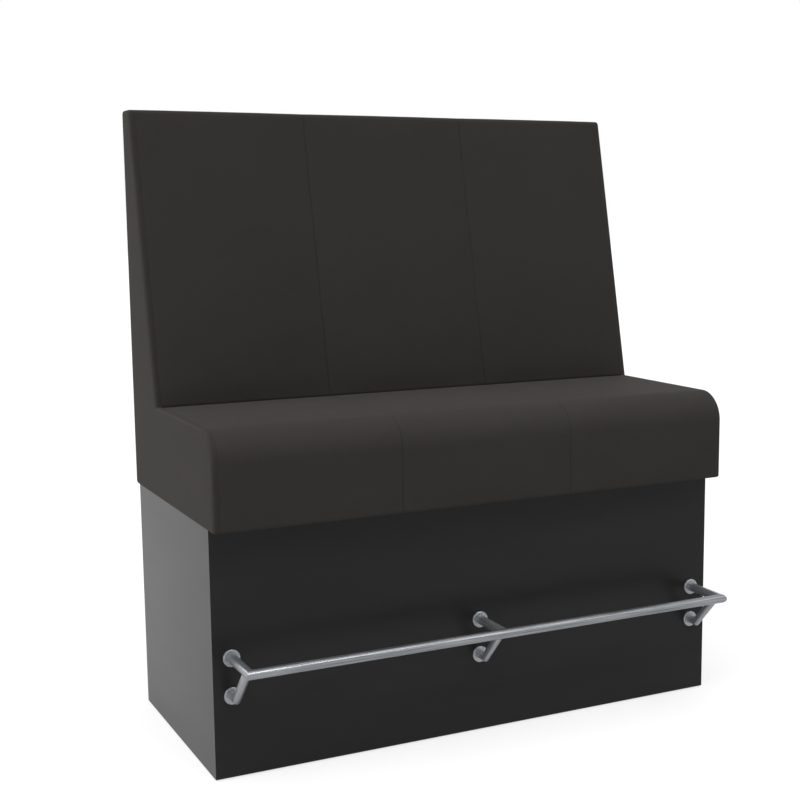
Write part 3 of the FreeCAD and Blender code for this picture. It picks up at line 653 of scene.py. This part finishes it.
def laminate():
    """Black satin laminate: a faint hammered face, wiping marks and a little dust near the floor."""
    dark, pale = (0.0119, 0.0119, 0.0122), (0.0157, 0.0155, 0.0155)
    dusty = (0.030, 0.028, 0.026)
    material, tree, shader = surface("black_laminate", IOR=1.22)
    place = place_of(tree)
    fine = noise_of(tree, place, 900.0, 2.0)
    marks = noise_of(tree, place_of(tree, (3, 3, 14)), 1.0, 2.0, 0.5)
    height = add_node(tree, "SeparateXYZ", {0: place}).outputs[2]
    near_floor = between(tree, height, 0.25, 0.0, 0.0, 0.09)
    dust = calculate(tree, "MULTIPLY", near_floor, noise_of(tree, place, 26.0, 5.0, 0.7))
    colour = blend_colours(tree, dust, graded(tree, marks, 0.2, 0.8, dark, pale), dusty)
    rough = calculate(tree, "ADD", between(tree, marks, 0.27, 0.31, 0.2, 0.8),
                      calculate(tree, "MULTIPLY", dust, 0.25))
    dress(tree, shader, colour, rough, bump(tree, fine, 0.00002))
    return material


def stainless(name, turn, painted_light_gain=1.0):
    """Satin stainless steel, brushed along X after the given turn. A gain above one paints light into its
    colour, as a lighter copy of the same steel.
    """
    tones = ((0.10, 0.105, 0.115), (0.33, 0.34, 0.355))
    dark, pale = ([painted_light_gain * value for value in tone] for tone in tones)
    material, tree, shader = surface(name, Metallic=0.80)
    fine = noise_of(tree, place_of(tree, (7, 1500, 1500), turn), 1.0, 3.0, 0.65)
    broad = noise_of(tree, place_of(tree, (5, 330, 330), turn), 1.0, 3.0, 0.7)
    cloudy = noise_of(tree, place_of(tree), 14.0, 4.0)
    streaks = calculate(tree, "MULTIPLY_ADD", fine, 0.45, calculate(tree, "MULTIPLY", broad, 0.55))
    colour = graded(tree, streaks, 0.36, 0.64, dark, pale)
    rough = calculate(tree, "ADD", between(tree, streaks, 0.30, 0.42, 0.36, 0.64),
                      between(tree, cloudy, -0.03, 0.04, 0.3, 0.7))
    dress(tree, shader, colour, rough, bump(tree, streaks, 0.00002))
    return material


def zinc():
    """Zinc plated steel with its cloudy, slightly blue bloom."""
    blue, white = (0.50, 0.52, 0.55), (0.66, 0.67, 0.66)
    material, tree, shader = surface("zinc_plate", Metallic=1.0)
    bloom = noise_of(tree, place_of(tree), 120.0, 5.0)
    colour = graded(tree, bloom, 0.3, 0.7, blue, white)
    dress(tree, shader, colour, between(tree, bloom, 0.28, 0.45, 0.3, 0.7),
          bump(tree, noise_of(tree, place_of(tree), 1800.0, 2.0), 0.00002))
    return material


def wood(name, pale, dark, along, rings, rough_low):
    """Wood with its grain along one axis: long fibres, pores and growth rings."""
    material, tree, shader = surface(name)
    ring_stretch, ring_turns = 22, 46.0
    fibres_across, fibres_along = 950, 24
    stretch = [rings] * 3
    stretch[along] = rings / ring_stretch
    figure = noise_of(tree, place_of(tree, stretch), 1.0, 6.0, 0.6)
    ring = calculate(tree, "SINE", calculate(tree, "MULTIPLY", figure, ring_turns))
    fibres = [fibres_across] * 3
    fibres[along] = fibres_along
    fibre = noise_of(tree, place_of(tree, fibres), 1.0, 3.0, 0.6)
    share = calculate(tree, "ADD", between(tree, ring, 0.0, 0.6, -1.0),
                      between(tree, fibre, 0.0, 0.4, 0.3, 0.7))
    colour = blend_colours(tree, share, pale, dark)
    rough = between(tree, fibre, rough_low, rough_low + 0.2, 0.3, 0.7)
    dress(tree, shader, colour, rough, bump(tree, fibre, 0.00012))
    return material


def hardboard():
    """Pressed brown fibreboard: short fibres in every direction."""
    dark, pale = (0.16, 0.095, 0.05), (0.30, 0.20, 0.12)
    material, tree, shader = surface("pressed_hardboard")
    fibre = noise_of(tree, place_of(tree, (420, 60, 420)), 1.0, 5.0, 0.7)
    colour = graded(tree, fibre, 0.3, 0.7, dark, pale)
    dress(tree, shader, colour, between(tree, fibre, 0.45, 0.7, 0.3, 0.7), bump(tree, fibre, 0.0001))
    return material


def plastic():
    """Moulded black plastic with a spark-eroded face."""
    black, scuffed = (0.018, 0.018, 0.018), (0.045, 0.044, 0.043)
    material, tree, shader = surface("moulded_plastic", IOR=1.46)
    grain = noise_of(tree, place_of(tree), 1600.0, 3.0)
    scuffs = noise_of(tree, place_of(tree, (60, 60, 300)), 1.0, 5.0, 0.7)
    colour = graded(tree, scuffs, 0.45, 0.75, black, scuffed)
    dress(tree, shader, colour, between(tree, scuffs, 0.42, 0.62, 0.3, 0.7), bump(tree, grain, 0.00004))
    return material


def foam_block():
    """Cut upholstery foam with open cells, their pits darkened with painted shade."""
    amber, cream, painted_pore_shade = (0.72, 0.62, 0.36), (0.80, 0.72, 0.47), (0.30, 0.24, 0.12)
    material, tree, shader = surface("cut_foam", Roughness=0.95)
    cells = add_node(tree, "TexVoronoi", {"Vector": place_of(tree), "Scale": 700.0}).outputs[0]
    tint = noise_of(tree, place_of(tree), 9.0, 3.0)
    colour = graded(tree, tint, 0.3, 0.7, amber, cream)
    # Painted shade: the colour darkens in the pits at the cells' middles.
    colour = blend_colours(tree, between(tree, cells, 0.45, 0.0, 0.0, 0.5), colour, painted_pore_shade)
    dress(tree, shader, colour, None, bump(tree, cells, 0.0006))
    return material


def give(material, *starts):
    """Puts a material on every CAD node whose name begins with one of the starts."""
    for name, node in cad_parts.items():
        if name.startswith(starts):
            if not node.material_slots:
                node.data.materials.append(material)
            for slot in node.material_slots:
                slot.material = material


def dress_frame():
    """Materials of the CAD nodes that stay as they are."""
    quarter = math.pi / 2
    brace_low, brace_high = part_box("rail_brace_middle")
    brace_turn = math.atan2(brace_high.z - brace_low.z, brace_high.y - brace_low.y)
    plywood = ((0.62, 0.46, 0.28), (0.42, 0.27, 0.14))
    beech = ((0.50, 0.33, 0.18), (0.32, 0.18, 0.09))
    give(laminate(), "plinth_front", "plinth_left", "plinth_right", "plinth_back")
    give(stainless("brushed_rail", (0, 0, 0)), "foot_rail", "rail_plugs")
    # Painted light: the arms, stubs, flanges and braces take lighter copies of the rail's steel, for light
    # they catch.
    give(stainless("brushed_arm_painted_lighter", (0, 0, quarter), 1.3), "rail_arm", "rail_stub", "rail_flanges")
    give(stainless("brushed_brace_painted_lighter", (brace_turn, 0, quarter), 1.35), "rail_brace")
    give(zinc(), "foot_stem", "foot_inserts", "rail_bolts", "rail_washers", "unit_bolts")
    give(plastic(), "foot_pad")
    give(wood("plywood_along", *plywood, along=0, rings=9, rough_low=0.5),
         "plinth_deck", "seat_deck", "seat_base", "back_board", "rail_backing")
    give(wood("plywood_across", *plywood, along=1, rings=9, rough_low=0.5),
         "plinth_divider", "end_frame", "seam_rib")
    give(wood("beech_along", *beech, along=0, rings=14, rough_low=0.4), "seat_front_rail", "back_top_rail")
    give(wood("beech_upright", *beech, along=2, rings=14, rough_low=0.4), "foot_block")
    give(hardboard(), "rear_lining")


# Floor, light and camera


def looked_at(tree):
    """One for what the camera sees, straight or in a gloss, and zero for what only lights the bench."""
    rays = add_node(tree, "LightPath").outputs
    mirrored = calculate(tree, "MAXIMUM", rays["Is Glossy Ray"], rays["Is Transmission Ray"])
    return calculate(tree, "MAXIMUM", rays["Is Camera Ray"], mirrored)


def studio_floor():
    """A wide pale floor that reads as white to the camera and keeps the bench's shadow."""
    dark, pale, seen_grey = (0.64, 0.64, 0.64), (0.66, 0.66, 0.66), (0.30, 0.30, 0.30)
    glow_strength = 0.68
    reach = 30
    material, tree, shader = surface("studio_floor")
    tree.nodes.remove(shader)
    seen = looked_at(tree)
    mottle = noise_of(tree, place_of(tree), 2.0, 2.0)
    colour = blend_colours(tree, seen, blend_colours(tree, mottle, dark, pale), seen_grey)
    plain = add_node(tree, "BsdfDiffuse", {"Color": colour}).outputs[0]
    strength = calculate(tree, "MULTIPLY", seen, glow_strength)
    glow = add_node(tree, "Emission", {"Color": (1, 1, 1, 1), "Strength": strength}).outputs[0]
    lit = add_node(tree, "AddShader", {0: plain, 1: glow}).outputs[0]
    tree.links.new(lit, tree.nodes["Material Output"].inputs[0])
    corners = [(-reach, -reach, 0), (reach, -reach, 0), (reach, reach, 0), (-reach, reach, 0)]
    floor = put_mesh("floor", corners, [(0, 1, 2, 3)])
    floor.data.materials.append(material)


def studio_world():
    """Plain soft light from all round, and white wherever the camera or a gloss looks past the bench."""
    soft_strength = 0.15
    world = bpy.data.worlds.new("studio")
    bpy.context.scene.world = world
    world.use_nodes = True
    tree = world.node_tree
    background = tree.nodes["Background"].inputs
    tree.links.new(between(tree, looked_at(tree), soft_strength, 1.0), background["Strength"])
    background["Color"].default_value = (1, 1, 1, 1)


def soft_lamp(name, direction, strength, spread, diffuse=True, glossy=True):
    """Light from a wide patch of the ceiling or a wall, the same at every place."""
    lamp = bpy.data.lights.new(name, "SUN")
    lamp.energy = strength
    lamp.angle = math.radians(spread)
    holder = put(name, lamp)
    holder.rotation_mode = "QUATERNION"
    holder.rotation_quaternion = Vector(direction).to_track_quat("-Z", "Y")
    holder.visible_diffuse = diffuse
    holder.visible_glossy = glossy


def studio_lamps():
    """A strong light from above, weak ones from three sides and a gloss along the front."""
    soft_lamp("overhead", (0.06, 0.13, -1.0), strength=3.30, spread=70, glossy=False)
    soft_lamp("front", (-0.20, 0.62, -0.76), strength=1.3, spread=15, diffuse=False)
    soft_lamp("left", (0.9, 0.2, -0.45), strength=0.40, spread=40)
    soft_lamp("left_fill", (0.97, -0.06, -0.22), strength=2.1, spread=40, glossy=False)
    soft_lamp("front_fill", (0.0, 0.64, -0.77), strength=0.34, spread=50, glossy=False)
    soft_lamp("rear_left", (0.36, -0.88, -0.30), strength=0.20, spread=20)


def camera():
    """The photograph's view, fitted to the bench's edges."""
    lens = bpy.data.cameras.new("camera")
    lens.lens = 63.23
    lens.sensor_width = 36
    lens.shift_x = -0.08788
    lens.shift_y = 0.015
    eye = put("camera", lens)
    eye.location = (-1.37268, -2.82065, 1.14402)
    yaw, pitch, roll = math.radians(27.34), math.radians(-8.42), math.radians(-0.27)
    forward = Vector((math.sin(yaw) * math.cos(pitch), math.cos(yaw) * math.cos(pitch), math.sin(pitch)))
    turn = forward.to_track_quat("-Z", "Y")
    turn.rotate(Quaternion(forward, -roll))
    eye.rotation_mode = "QUATERNION"
    eye.rotation_quaternion = turn
    bpy.context.scene.camera = eye


covers(leathercloth("dark_leathercloth_sewn", True))
plain_skin = leathercloth("dark_leathercloth_plain", False)
side_pads(plain_skin)
rear_pad(plain_skin)
foam_cores(foam_block())
dress_frame()
studio_floor()
studio_world()
studio_lamps()
camera()
bpy.context.scene.view_settings.view_transform = "Standard"
